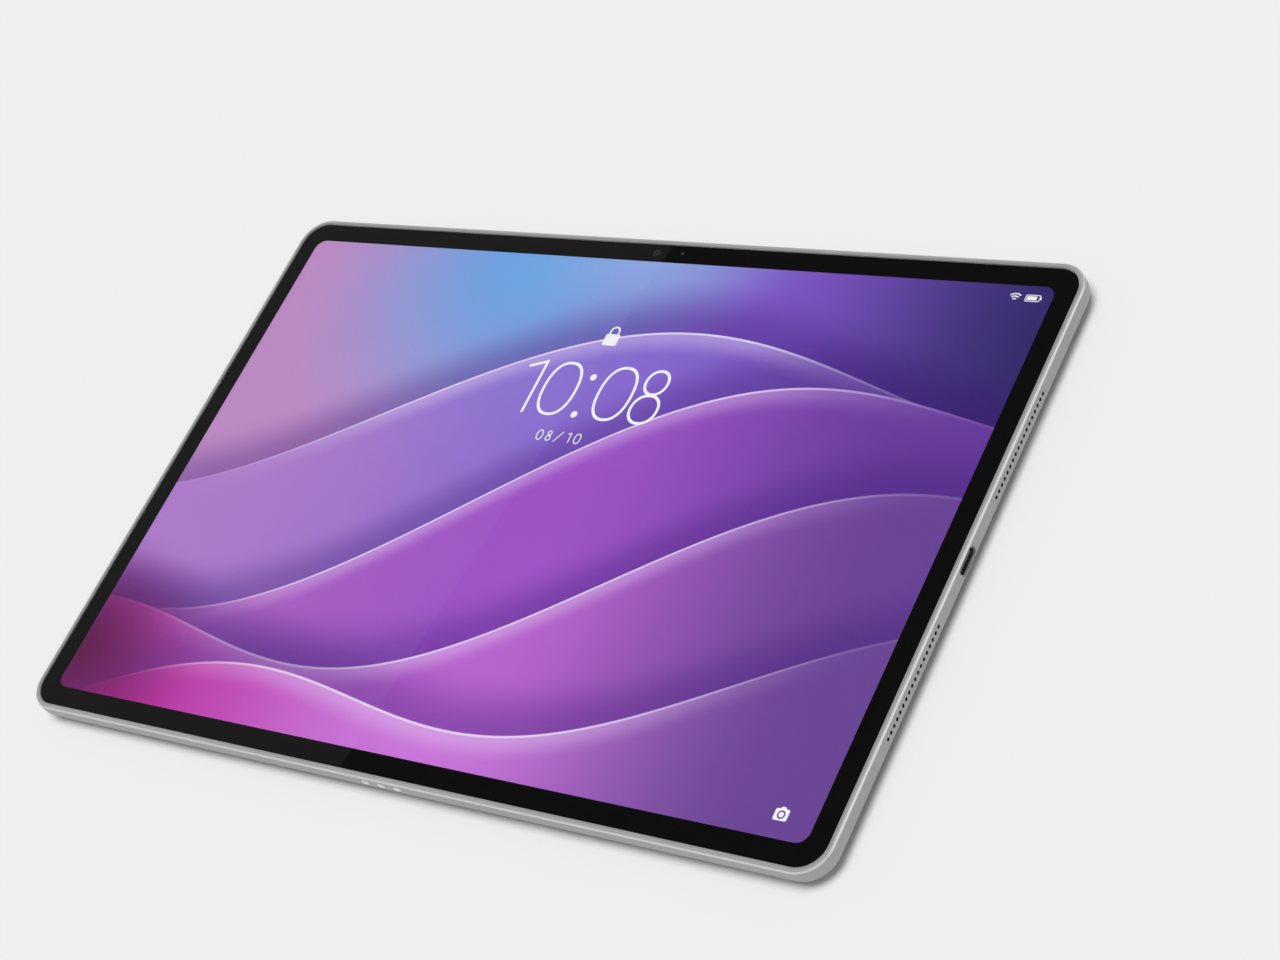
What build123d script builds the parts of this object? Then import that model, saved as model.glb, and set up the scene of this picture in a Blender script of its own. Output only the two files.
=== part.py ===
from build123d import *
import os

os.makedirs("parts", exist_ok=True)

# Tablet computer lying on its back. Millimetres, +X along the long side, +Y towards the top
# edge, +Z out of the screen. z = 0 is the rear end of the camera ring, the lowest point.

# Case.
LENGTH = 290.6
WIDTH = 187.9
THICKNESS = 6.9
CORNER_R = 9.3
REAR_EDGE_R = 3.5
RIM_CHAMFER = 0.45
WALL = 2.6
SKIN = 0.8
CAMERA_RISE = 1.8

# Heights that follow from the case.
REAR_Z = CAMERA_RISE
TOP_Z = REAR_Z + THICKNESS
FLOOR_Z = REAR_Z + SKIN
PORT_Z = TOP_Z - 2.5
EDGE_X = LENGTH / 2
EDGE_Y = WIDTH / 2
INNER_X = EDGE_X - WALL
INNER_Y = EDGE_Y - WALL

# Cover glass and what is bonded under it.
GLASS_LENGTH = 287.4
GLASS_WIDTH = 184.5
GLASS_R = 7.75
GLASS_T = 0.65
INK_T = 0.05
TAPE_T = 0.1
SCREEN_LENGTH = 274.4
SCREEN_WIDTH = 171.5
SCREEN_R = 3.6
CELL_MARGIN = 0.4
CELL_T = 0.75
TRAY_MARGIN = 0.85
TRAY_SHEET = 0.2
GUIDE_T = 0.65
GASKET_WIDTH = 0.25
GROOVE_WIDTH = 0.25
GROOVE_DEPTH = 0.25
FIT_GAP = 0.03

GLASS_Z = TOP_Z - GLASS_T
INK_Z = GLASS_Z - INK_T
LEDGE_Z = INK_Z - TAPE_T
CELL_Z = INK_Z - CELL_T
TRAY_Z = CELL_Z - TRAY_SHEET - GUIDE_T - 0.05

# Middle plate that carries the display over the batteries and the main board.
PLATE_LENGTH = 272.0
PLATE_WIDTH = 168.0
PLATE_T = 0.45
PLATE_Z = TRAY_Z - 0.05 - PLATE_T

# Screws, wafer heads into bosses that stand on the floor.
SCREW_R = 0.7
SCREW_HOLE_R = 0.73
SCREW_HEAD_R = 1.45
SCREW_HEAD_T = 0.22
BOSS_R = 1.9
PLATE_SCREWS = [(-115, -70), (-115, -12), (-115, 33), (115, -70), (115, -20), (0, -75), (0, 20)]
BOARD_SCREWS = [(-88, 82), (-8, 82), (64, 82), (-88, 40), (12, 40), (92, 40), (92, 82)]

# Side openings. Both short sides hold two rows of sound holes, mirrored about the middle.
SOUND_HOLES = 18
SOUND_PITCH = 1.95
SOUND_FIRST_Y = 19.8
SOUND_HOLE_R = 0.55
USB_WIDTH = 8.94
USB_HEIGHT = 3.2
USB_SHELL = 0.3
USB_DEPTH = 6.4
MIC_Y = 4.2
MIC_R = 0.5
DOCK_PITCH = 5.9
DOCK_WIDTH = 2.6
DOCK_HEIGHT = 2.0
DOCK_COLLAR = 0.2

# Keys. Each stands proud of the wall and is held inside by a flange.
KEY_HEIGHT = 2.4
KEY_GAP = 0.12
KEY_PROUD = 0.35
POWER_Y = 75.3
POWER_LENGTH = 12.0
VOLUME_X = -117.0
VOLUME_LENGTH = 22.0

# Memory card tray in the top edge.
TRAY_X = 108.0
CARD_FACE = 14.6
CARD_FACE_HEIGHT = 2.2
CARD_FACE_Z = TOP_Z - 2.75
CARD_TONGUE = 12.6
CARD_TONGUE_T = 0.9
CARD_TONGUE_LENGTH = 15.5
CARD_TONGUE_Z = CARD_FACE_Z - 1.0
CARD_WIDTH = 11.2
CARD_LENGTH = 14.2
PIN_HOLE_R = 0.45

# Rear camera island: a pill-shaped plate, with the lens ring centred on its outer end.
CAMERA_X = -124.5
CAMERA_Y = 71.0
ISLAND_X = -104.4
ISLAND_LENGTH = 64.9
ISLAND_WIDTH = 24.9
ISLAND_RISE = 0.45
ISLAND_SEAT = 0.4
ISLAND_SEAM = 0.15
RING_R = 8.9
RING_NECK_R = 8.2
LENS_GLASS_R = 7.95
RING_LIP_R = 6.6
FLASH_X = -106.8
FLASH_R = 2.6
LENS_BARREL_R = 2.9
LENS_GAP = 0.3

# Batteries and the board above them.
CELL_GAP = 4.0
BATTERY_LENGTH = 110.0
BATTERY_WIDTH = 114.0
BATTERY_LOW_Y = -84.0
BATTERY_T = 2.8
BATTERY_Z = FLOOR_Z + 0.15
BOARD_Z = FLOOR_Z + 0.7
BOARD_T = 0.7
BOARD_TOP = BOARD_Z + BOARD_T
CAN_TOP = BOARD_TOP + 1.5
CAN_SHEET = 0.2

# Front camera and light sensor, behind the border above the screen.
FRONT_CAMERA_Y = 88.9
FRONT_CAMERA_R = 1.3
SENSOR_X = 9.5
SENSOR_Y = 89.4


def slab(length, width, low, high, at=(0, 0), radius=0.0):
    """Flat block between two heights, with rounded corners when a radius is given."""
    outline = RectangleRounded(length, width, radius) if radius else Rectangle(length, width)
    return Pos(at[0], at[1], low) * extrude(outline, high - low)


def block(x, y, z):
    """Block between two limits on each axis, given as pairs."""
    middle = ((x[0] + x[1]) / 2, (y[0] + y[1]) / 2)
    return slab(x[1] - x[0], y[1] - y[0], z[0], z[1], middle)


def disc(radius, low, high, at=(0, 0)):
    """Upright cylinder between two heights."""
    return Pos(at[0], at[1], low) * extrude(Circle(radius), high - low)


def upright_pill(length, width, low, high, at=(0, 0)):
    """Pill outline, long in X, between two heights."""
    return Pos(at[0], at[1], low) * extrude(SlotOverall(length, width), high - low)


def side_pill(length, height, x, y, z):
    """Pill through a short side wall: long in Y, between the two limits of x."""
    section = Plane.YZ * SlotOverall(length, height)
    return Pos(x[0], y, z) * extrude(section, x[1] - x[0])


def edge_pill(length, height, x, y, z):
    """Pill through a long side wall: long in X, between the two limits of y."""
    section = Plane.XZ * SlotOverall(length, height)
    return Pos(x, y[1], z) * extrude(section, y[1] - y[0])


def side_rod(radius, x, y, z):
    """Round bar along X between two limits."""
    return Pos(x[0], y, z) * extrude(Plane.YZ * Circle(radius), x[1] - x[0])


def edge_rod(radius, x, y, z):
    """Round bar along Y between two limits."""
    return Pos(x, y[1], z) * extrude(Plane.XZ * Circle(radius), y[1] - y[0])


def group(solids):
    """Separate solids kept together as one piece of the assembly."""
    return Compound(children=[solid for shape in solids for solid in shape.solids()])


def lidded_box(x, y, low, high, sheet):
    """Sheet-metal box that is open below."""
    inner_x = (x[0] + sheet, x[1] - sheet)
    inner_y = (y[0] + sheet, y[1] - sheet)
    return block(x, y, (low, high)) - block(inner_x, inner_y, (low - 1, high - sheet))


# Case: one machined tray. Its rear edge is rounded all round and its rim has a bright chamfer.
case_outline = slab(LENGTH, WIDTH, REAR_Z, TOP_Z, radius=CORNER_R)
case_outline = fillet(case_outline.edges().group_by(Axis.Z)[0], REAR_EDGE_R)
case_outline = chamfer(case_outline.edges().group_by(Axis.Z)[-1], RIM_CHAMFER)

seat_length = GLASS_LENGTH + 2 * (GASKET_WIDTH + GROOVE_WIDTH)
seat_width = GLASS_WIDTH + 2 * (GASKET_WIDTH + GROOVE_WIDTH)
seat_r = GLASS_R + GASKET_WIDTH + GROOVE_WIDTH
case_seat = slab(seat_length, seat_width, LEDGE_Z, TOP_Z + 1, radius=seat_r)
case_cavity = slab(2 * INNER_X, 2 * INNER_Y, FLOOR_Z, TOP_Z, radius=CORNER_R - WALL)
back_housing = case_outline - case_seat - case_cavity

for place in PLATE_SCREWS:
    boss_top = PLATE_Z
    back_housing += disc(BOSS_R, FLOOR_Z - 0.2, boss_top, place)
for place in BOARD_SCREWS:
    back_housing += disc(BOSS_R, FLOOR_Z - 0.2, BOARD_Z, place)
for place in PLATE_SCREWS + BOARD_SCREWS:
    back_housing -= disc(SCREW_HOLE_R, FLOOR_Z + 0.1, PLATE_Z + 1, place)

sound_rows = []
for side in (-1, 1):
    for half in (-1, 1):
        for hole in range(SOUND_HOLES):
            y = half * (SOUND_FIRST_Y + hole * SOUND_PITCH)
            x_limits = sorted((side * (INNER_X - 0.5), side * (EDGE_X + 0.5)))
            sound_rows.append(side_rod(SOUND_HOLE_R, x_limits, y, PORT_Z))
back_housing -= sound_rows

back_housing -= side_rod(MIC_R, (-EDGE_X - 0.5, -INNER_X + 0.5), MIC_Y, PORT_Z)
usb_mouth = side_pill(USB_WIDTH + 0.16, USB_HEIGHT + 0.16, (INNER_X - 1, EDGE_X + 1), 0, PORT_Z)
usb_notch = block((INNER_X - 1, EDGE_X - 1.6), (-4.7, 4.7), (PORT_Z, LEDGE_Z + 0.1))
back_housing = back_housing - usb_mouth - usb_notch

dock_places = [-DOCK_PITCH, 0, DOCK_PITCH]
dock_slot = (DOCK_WIDTH + 2 * DOCK_COLLAR + 0.04, DOCK_HEIGHT + 2 * DOCK_COLLAR + 0.04)
for x in dock_places:
    back_housing -= edge_pill(*dock_slot, x, (-EDGE_Y - 1, -INNER_Y + 1), PORT_Z)

key_slot = KEY_HEIGHT + 2 * KEY_GAP
power_slot = POWER_LENGTH + 2 * KEY_GAP
back_housing -= side_pill(power_slot, key_slot, (-EDGE_X - 1, -INNER_X + 1), POWER_Y, PORT_Z)
volume_slot = VOLUME_LENGTH + 2 * KEY_GAP
back_housing -= edge_pill(volume_slot, key_slot, VOLUME_X, (INNER_Y - 1, EDGE_Y + 1), PORT_Z)

face_slot = (CARD_FACE + 0.2, CARD_FACE_HEIGHT + 0.2)
face_back = EDGE_Y - 1.7
back_housing -= edge_pill(*face_slot, TRAY_X, (face_back, EDGE_Y + 1), CARD_FACE_Z)
tongue_half = CARD_TONGUE / 2 + 0.25
tongue_top = CARD_TONGUE_Z + CARD_TONGUE_T
tongue_slot_z = (CARD_TONGUE_Z - 0.15, tongue_top + 0.2)
tongue_slot_x = (TRAY_X - tongue_half, TRAY_X + tongue_half)
back_housing -= block(tongue_slot_x, (INNER_Y - 1, EDGE_Y - 1.6), tongue_slot_z)
pin_x = TRAY_X + CARD_FACE / 2 - 1.7
pin_z = CARD_FACE_Z + 0.4
back_housing -= edge_rod(PIN_HOLE_R + 0.1, pin_x, (INNER_Y - 1, EDGE_Y - 1.6), pin_z)

island_at = (ISLAND_X, CAMERA_Y)
camera_at = (CAMERA_X, CAMERA_Y)
flash_at = (FLASH_X, CAMERA_Y)
seat_pill = (ISLAND_LENGTH + 2 * ISLAND_SEAM, ISLAND_WIDTH + 2 * ISLAND_SEAM)
back_housing -= upright_pill(*seat_pill, REAR_Z - 1, REAR_Z + ISLAND_SEAT + 0.02, island_at)
back_housing -= disc(RING_NECK_R + 0.2, REAR_Z - 1, FLOOR_Z + 1, camera_at)
back_housing -= disc(FLASH_R + 0.25, REAR_Z - 1, FLOOR_Z + 1, flash_at)

# Display stack, from the glass down.
cover_glass = slab(GLASS_LENGTH, GLASS_WIDTH, GLASS_Z, TOP_Z, radius=GLASS_R)
cover_glass = fillet(cover_glass.edges().group_by(Axis.Z)[-1], 0.2)

border_ink = slab(GLASS_LENGTH - 0.3, GLASS_WIDTH - 0.3, INK_Z, GLASS_Z, radius=GLASS_R - 0.15)
border_ink -= slab(SCREEN_LENGTH, SCREEN_WIDTH, INK_Z - 1, TOP_Z, radius=SCREEN_R)
border_ink -= disc(FRONT_CAMERA_R, INK_Z - 1, TOP_Z, (0, FRONT_CAMERA_Y))
border_ink -= disc(0.5, INK_Z - 1, TOP_Z, (SENSOR_X, SENSOR_Y))
bonding_film = slab(
    SCREEN_LENGTH - 0.1, SCREEN_WIDTH - 0.1, INK_Z, GLASS_Z, radius=SCREEN_R
)

gasket_outer = (seat_length - 2 * FIT_GAP, seat_width - 2 * FIT_GAP)
lip_outer = (GLASS_LENGTH + 2 * GASKET_WIDTH, GLASS_WIDTH + 2 * GASKET_WIDTH)
gasket_inner = (GLASS_LENGTH + 2 * FIT_GAP, GLASS_WIDTH + 2 * FIT_GAP)
rim_gasket = slab(*gasket_outer, LEDGE_Z, TOP_Z - GROOVE_DEPTH, radius=seat_r - FIT_GAP)
rim_gasket += slab(*lip_outer, LEDGE_Z, TOP_Z - 0.04, radius=GLASS_R + GASKET_WIDTH)
rim_gasket -= slab(*gasket_inner, LEDGE_Z - 1, TOP_Z + 1, radius=GLASS_R + FIT_GAP)

display_tape = slab(GLASS_LENGTH - 0.3, GLASS_WIDTH - 0.3, LEDGE_Z, INK_Z, radius=GLASS_R - 0.15)
tape_inner = (2 * INNER_X + 0.1, 2 * INNER_Y + 0.1)
display_tape -= slab(*tape_inner, LEDGE_Z - 1, TOP_Z, radius=CORNER_R - WALL + 0.05)

cell_size = (SCREEN_LENGTH + 2 * CELL_MARGIN, SCREEN_WIDTH + 2 * CELL_MARGIN)
lcd_panel = slab(*cell_size, CELL_Z, INK_Z, radius=SCREEN_R)
tray_size = (SCREEN_LENGTH + 2 * TRAY_MARGIN, SCREEN_WIDTH + 2 * TRAY_MARGIN)
tray_inner = (tray_size[0] - 0.5, tray_size[1] - 0.5)
backlight_tray = slab(*tray_size, TRAY_Z, CELL_Z - 0.02, radius=SCREEN_R + 0.5)
backlight_tray -= slab(*tray_inner, TRAY_Z + TRAY_SHEET, TOP_Z, radius=SCREEN_R + 0.25)
guide_size = (tray_inner[0] - 0.2, tray_inner[1] - 0.2)
guide_low = TRAY_Z + TRAY_SHEET + 0.02
light_guide = slab(*guide_size, guide_low, guide_low + GUIDE_T - 0.05, radius=SCREEN_R)

flex_x = (-46.0, -14.0)
flex_y = SCREEN_WIDTH / 2 + TRAY_MARGIN + 0.1
flex_low = CAN_TOP - 0.45
display_flex = block(flex_x, (flex_y, flex_y + 0.12), (flex_low, CELL_Z + 0.4))
display_flex += block(flex_x, (flex_y - 3.5, flex_y + 0.12), (flex_low, flex_low + 0.12))
display_flex += block((-42.0, -18.0), (flex_y - 3.5, flex_y - 1), (BOARD_TOP, flex_low))

# Middle plate, with windows over the card slot, the speakers and the camera.
mid_plate = slab(PLATE_LENGTH, PLATE_WIDTH, PLATE_Z, PLATE_Z + PLATE_T, radius=5)
mid_plate -= block((99, 118), (70, 90), (PLATE_Z - 1, TOP_Z))
mid_plate -= block((-134, -98), (60, 90), (PLATE_Z - 1, TOP_Z))
for side in (-1, 1):
    for half in (-1, 1):
        window = (side * 128.5, half * 36.5)
        mid_plate -= slab(13, 30, PLATE_Z - 1, TOP_Z, window, radius=2)
    for middle in (-55, -5):
        mid_plate -= slab(70, 34, PLATE_Z - 1, TOP_Z, (side * 57, middle), radius=4)
for place in PLATE_SCREWS:
    mid_plate -= disc(SCREW_HOLE_R + 0.07, PLATE_Z - 1, TOP_Z, place)
    mid_plate -= disc(SCREW_HEAD_R + 0.15, PLATE_Z + 0.2, TOP_Z, place)

# Screws: one set holds the middle plate, the other the main board.
screw_solids = []
for place in PLATE_SCREWS:
    head_z = PLATE_Z + 0.21
    screw = disc(SCREW_R, FLOOR_Z + 0.6, head_z, place)
    screw_solids.append(screw + disc(SCREW_HEAD_R, head_z, head_z + SCREW_HEAD_T, place))
for place in BOARD_SCREWS:
    screw = disc(SCREW_R, FLOOR_Z + 0.15, BOARD_TOP, place)
    screw_solids.append(screw + disc(SCREW_HEAD_R, BOARD_TOP, BOARD_TOP + 0.3, place))
screws = group(screw_solids)

# Two pouch batteries side by side, their pull strips and the protection board between them.
def pouch(middle_x):
    """Pouch cell with soft edges and a sealed shoulder along its upper end."""
    middle_y = BATTERY_LOW_Y + BATTERY_WIDTH / 2
    top = BATTERY_Z + BATTERY_T
    cell = slab(BATTERY_LENGTH, BATTERY_WIDTH, BATTERY_Z, top, (middle_x, middle_y), radius=2.5)
    cell = fillet(cell.edges().group_by(Axis.Z)[-1], 0.8)
    shoulder_y = BATTERY_LOW_Y + BATTERY_WIDTH
    return cell + block(
        (middle_x - 50, middle_x + 50), (shoulder_y - 1, shoulder_y + 2), (BATTERY_Z, BATTERY_Z + 0.4)
    )


cell_x = (BATTERY_LENGTH + CELL_GAP) / 2
battery_left = pouch(-cell_x)
battery_right = pouch(cell_x)
strip_y = (BATTERY_LOW_Y + 4, BATTERY_LOW_Y + BATTERY_WIDTH - 6)
strip_solids = []
for side in (-1, 1):
    for offset in (-38, 0, 38):
        middle = side * cell_x + offset
        strip_z = (FLOOR_Z + 0.02, BATTERY_Z - 0.02)
        strip_solids.append(block((middle - 6, middle + 6), strip_y, strip_z))
battery_strips = group(strip_solids)
guard_y = BATTERY_LOW_Y + BATTERY_WIDTH + 2.4
battery_board = block((-34, 34), (guard_y, guard_y + 3.2), (BOARD_Z, BOARD_TOP))
battery_board += block((-6, 6), (guard_y + 0.4, 43), (BOARD_TOP, BOARD_TOP + 0.14))
battery_board += block((-5, 5), (39.8, 42.6), (BOARD_TOP + 0.14, BOARD_TOP + 0.9))

# Main board with its chips, shield cans and the graphite sheet on top of them.
main_board = slab(213, 46, BOARD_Z, BOARD_TOP, (11.5, 62), radius=1.5)
for place in BOARD_SCREWS:
    main_board -= disc(SCREW_HOLE_R + 0.07, BOARD_Z - 1, BOARD_TOP + 1, place)
shield_can_main = lidded_box((-76, -28), (46, 78), BOARD_TOP, CAN_TOP, CAN_SHEET)
shield_can_radio = lidded_box((22, 60), (46, 78), BOARD_TOP, CAN_TOP, CAN_SHEET)
processor = slab(15, 15, BOARD_TOP, BOARD_TOP + 1.1, (-60, 62), radius=0.4)
memory_chips = group(
    [
        slab(11.5, 13, BOARD_TOP, BOARD_TOP + 0.9, (-39, 69)),
        slab(11.5, 13, BOARD_TOP, BOARD_TOP + 0.9, (-39, 54)),
    ]
)
support_chips = group(
    [
        slab(7, 7, BOARD_TOP, BOARD_TOP + 0.8, (4, 70)),
        slab(5, 5, BOARD_TOP, BOARD_TOP + 0.8, (4, 58)),
        slab(4, 3, BOARD_TOP, BOARD_TOP + 1.0, (12, 52)),
        slab(10, 10, BOARD_TOP, BOARD_TOP + 0.9, (41, 62), radius=0.3),
    ]
)
heat_spreader = slab(132, 30, CAN_TOP, CAN_TOP + 0.1, (-8, 62), radius=2)

# USB socket: a stadium shell round a contact tongue, on its own small board.
usb_x = (EDGE_X - 0.25 - USB_DEPTH, EDGE_X - 0.25)
usb_hollow = (USB_WIDTH - 2 * USB_SHELL, USB_HEIGHT - 2 * USB_SHELL)
usb_shell = side_pill(USB_WIDTH, USB_HEIGHT, usb_x, 0, PORT_Z)
usb_shell -= side_pill(*usb_hollow, (usb_x[0] - 1, usb_x[1] + 1), 0, PORT_Z)
base_size = (usb_hollow[0] - 0.04, usb_hollow[1] - 0.04)
usb_tongue = side_pill(*base_size, (usb_x[0], usb_x[0] + 1.2), 0, PORT_Z)
usb_tongue += block(
    (usb_x[0] + 1, usb_x[1] - 0.6), (-3.35, 3.35), (PORT_Z - 0.35, PORT_Z + 0.35)
)
usb_board_top = PORT_Z - USB_HEIGHT / 2 - 0.02
usb_board = block((119, INNER_X - 0.4), (-13, 13), (usb_board_top - 0.65, usb_board_top))
link_z = (usb_board_top + 0.02, usb_board_top + 0.14)
link_flex = block((113.6, 124), (-4, 4), link_z) + block((113.6, 117.6), (-4, 44), link_z)
link_flex += block((114, 117.2), (39.5, 43.5), (BOARD_TOP, link_z[0]))

# Four speakers. Each box has a racetrack diaphragm and a duct that meets its row of holes.
row_length = (SOUND_HOLES - 1) * SOUND_PITCH
row_middle = SOUND_FIRST_Y + row_length / 2
speaker_z = (FLOOR_Z + 0.1, PLATE_Z - 0.1)
tray_edge = SCREEN_LENGTH / 2 + TRAY_MARGIN


def speaker(side, half):
    """Speaker box in one corner quarter; side picks the short edge, half the row of holes."""
    middle = (side * 129.9, half * row_middle)
    box = slab(22.6, 40, *speaker_z, middle, radius=2)
    duct_x = sorted((side * (tray_edge + 0.4), side * (INNER_X - 0.35)))
    duct_y = sorted((half * (SOUND_FIRST_Y - 1), half * (SOUND_FIRST_Y + row_length + 1)))
    box += block(duct_x, duct_y, (speaker_z[1] - 0.5, PORT_Z + 1.0))
    box -= slab(12.6, 26.6, speaker_z[1] - 0.9, TOP_Z, (side * 127, half * row_middle), radius=5)
    return box


speaker_upper_left = speaker(-1, 1)
speaker_lower_left = speaker(-1, -1)
speaker_upper_right = speaker(1, 1)
speaker_lower_right = speaker(1, -1)
diaphragms = []
meshes = []
for side in (-1, 1):
    for half in (-1, 1):
        low = speaker_z[1] - 0.86
        middle = (side * 127, half * row_middle)
        cone = slab(12, 26, low, low + 0.5, middle, radius=4.7)
        cone += slab(7, 20, low + 0.5, low + 0.75, middle, radius=3)
        diaphragms.append(cone)
        mesh_x = sorted((side * (INNER_X - 0.33), side * (INNER_X - 0.02)))
        mesh_y = (half * row_middle - row_length / 2 - 1, half * row_middle + row_length / 2 + 1)
        meshes.append(block(mesh_x, mesh_y, (PORT_Z - 0.9, PORT_Z + 0.9)))
speaker_diaphragms = group(diaphragms)
speaker_meshes = group(meshes)

# Front camera and light sensor on a small board behind the border.
sensor_low = FLOOR_Z + 1.6
camera_cell_y = (SCREEN_WIDTH / 2 + TRAY_MARGIN + 0.2, INNER_Y - 0.2)
sensor_board = block((-5, 13), camera_cell_y, (sensor_low, sensor_low + 0.3))
front_camera = block((-3.2, 3.2), camera_cell_y, (sensor_low + 0.3, TOP_Z - 1.9))
front_camera += disc(1.9, TOP_Z - 1.9, INK_Z - 0.1, (0, FRONT_CAMERA_Y))
front_camera -= disc(1.25, TOP_Z - 1.7, TOP_Z, (0, FRONT_CAMERA_Y))
front_lens = disc(1.22, TOP_Z - 1.4, TOP_Z - 1.0, (0, FRONT_CAMERA_Y))
front_lens = fillet(front_lens.edges().group_by(Axis.Z)[-1], 0.3)
light_sensor = slab(2.6, 1.8, sensor_low + 0.3, INK_Z - 0.15, (SENSOR_X, SENSOR_Y))

# Rear camera island.
island_rear = REAR_Z - ISLAND_RISE
camera_plate = upright_pill(
    ISLAND_LENGTH, ISLAND_WIDTH, island_rear, REAR_Z + ISLAND_SEAT, island_at
)
camera_plate = fillet(camera_plate.edges().group_by(Axis.Z)[0], 0.35)
camera_plate -= disc(RING_NECK_R + 0.05, REAR_Z - 1, TOP_Z, camera_at)
camera_plate -= disc(FLASH_R + 0.05, REAR_Z - 1, TOP_Z, flash_at)

glass_back = 1.05
ring_top = FLOOR_Z + 0.3
camera_ring = disc(RING_R, 0, island_rear, camera_at)
camera_ring = fillet(camera_ring.edges().group_by(Axis.Z)[0], 0.3)
camera_ring += disc(RING_NECK_R, island_rear - 0.1, ring_top, camera_at)
camera_ring -= disc(LENS_GLASS_R + 0.05, -1, glass_back, camera_at)
camera_ring -= disc(RING_LIP_R, 0, ring_top + 1, camera_at)
camera_glass = disc(LENS_GLASS_R, 0.18, glass_back, camera_at)

module_low = ring_top + 0.05
hood_outline = Polyline(
    [
        (RING_LIP_R - 0.05, glass_back + 0.03),
        (5.4, glass_back + 0.03),
        (5.4, glass_back + 0.45),
        (4.1, glass_back + 0.45),
        (2.3, glass_back + 1.3),
        (2.3, module_low - 0.35),
        (RING_LIP_R - 0.05, module_low - 0.35),
    ],
    close=True,
)
lens_hood = Pos(CAMERA_X, CAMERA_Y, 0) * revolve(Plane.XZ * make_face(hood_outline), Axis.Z)

module_top = PLATE_Z - 0.1
camera_module = slab(12, 12, module_low, module_top, camera_at, radius=0.8)
barrel_bore = LENS_BARREL_R + LENS_GAP
camera_module -= disc(barrel_bore, module_low - 1, module_top - 0.5, camera_at)
barrel_low = module_low - 0.05
lens_barrel = disc(LENS_BARREL_R, barrel_low, module_top - 0.85, camera_at)
lens_barrel -= disc(1.9, barrel_low - 1, barrel_low + 0.5, camera_at)
lens_barrel = chamfer(lens_barrel.edges().group_by(Axis.Z)[0], 0.12)
camera_lens = Pos(CAMERA_X, CAMERA_Y, barrel_low + 2.6) * Sphere(2.5)
camera_lens &= disc(1.86, barrel_low + 0.12, barrel_low + 0.49, camera_at)
camera_flex = block((-118.4, -92), (66, 70), (BOARD_TOP + 0.02, BOARD_TOP + 0.14))
camera_flex += block((-98, -92.5), (66.4, 69.6), (BOARD_TOP + 0.14, BOARD_TOP + 0.8))

flash_lens = disc(FLASH_R, island_rear - 0.12, FLOOR_Z - 0.2, flash_at)
flash_lens = fillet(flash_lens.edges().group_by(Axis.Z)[0], 0.12)
flash_led = slab(2.4, 2.4, FLOOR_Z - 0.15, FLOOR_Z + 0.5, flash_at)
flash_led += slab(6.4, 6.4, FLOOR_Z + 0.5, FLOOR_Z + 0.65, flash_at)

# Power key with its flange and nub, and the dome switch it presses.
power_button = side_pill(
    POWER_LENGTH, KEY_HEIGHT, (-EDGE_X - KEY_PROUD, -INNER_X + 0.1), POWER_Y, PORT_Z
)
power_button = fillet(power_button.edges().group_by(Axis.X)[0], 0.18)
power_button += block(
    (-INNER_X + 0.06, -INNER_X + 0.4),
    (POWER_Y - 7, POWER_Y + 7),
    (PORT_Z - 1.45, PORT_Z + 1.45),
)
power_button += side_rod(0.9, (-INNER_X + 0.3, -INNER_X + 0.55), POWER_Y, PORT_Z)
switch_y = (POWER_Y - 5, POWER_Y + 5)
power_switch = block((-INNER_X + 0.95, -INNER_X + 1.3), switch_y, (PORT_Z - 1.3, PORT_Z + 1.3))
power_switch += side_rod(1.2, (-INNER_X + 0.86, -INNER_X + 0.95), POWER_Y, PORT_Z)

# Volume rocker in the top edge. It pivots at its middle, over two dome switches.
volume_key = edge_pill(
    VOLUME_LENGTH, KEY_HEIGHT, VOLUME_X, (INNER_Y - 0.4, EDGE_Y + KEY_PROUD), PORT_Z
)
volume_key = fillet(volume_key.edges().group_by(Axis.Y)[-1], 0.18)
volume_key += block(
    (VOLUME_X - 12, VOLUME_X + 12),
    (INNER_Y - 0.75, INNER_Y - 0.35),
    (PORT_Z - 1.45, PORT_Z + 1.45),
)
dome_x = (VOLUME_X - 7, VOLUME_X + 7)
switch_z = (PORT_Z - 1.3, PORT_Z + 1.3)
volume_switch = block(
    (VOLUME_X - 11, VOLUME_X + 11), (INNER_Y - 1.75, INNER_Y - 1.4), switch_z
)
for x in dome_x:
    volume_key += edge_rod(0.9, x, (INNER_Y - 0.9, INNER_Y - 0.6), PORT_Z)
    volume_switch += edge_rod(1.2, x, (INNER_Y - 1.4, INNER_Y - 1.15), PORT_Z)

# Card tray: a flush face, a tongue with a pocket for the card, and a hole for the eject pin.
card_tray = edge_pill(CARD_FACE, CARD_FACE_HEIGHT, TRAY_X, (EDGE_Y - 1.6, EDGE_Y + 1), CARD_FACE_Z)
card_tray &= case_outline
tongue_x = (TRAY_X - CARD_TONGUE / 2, TRAY_X + CARD_TONGUE / 2)
tongue_low_y = EDGE_Y - 1.6 - CARD_TONGUE_LENGTH
card_tray += block(tongue_x, (tongue_low_y, EDGE_Y - 1.5), (CARD_TONGUE_Z, tongue_top))
pocket_x = (TRAY_X - CARD_WIDTH / 2, TRAY_X + CARD_WIDTH / 2)
pocket_y = (tongue_low_y + 0.7, tongue_low_y + 0.7 + CARD_LENGTH)
card_tray -= block(pocket_x, pocket_y, (CARD_TONGUE_Z + 0.2, tongue_top + 1))
card_tray -= edge_rod(PIN_HOLE_R, pin_x, (EDGE_Y - 2, EDGE_Y + 1), pin_z)

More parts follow.
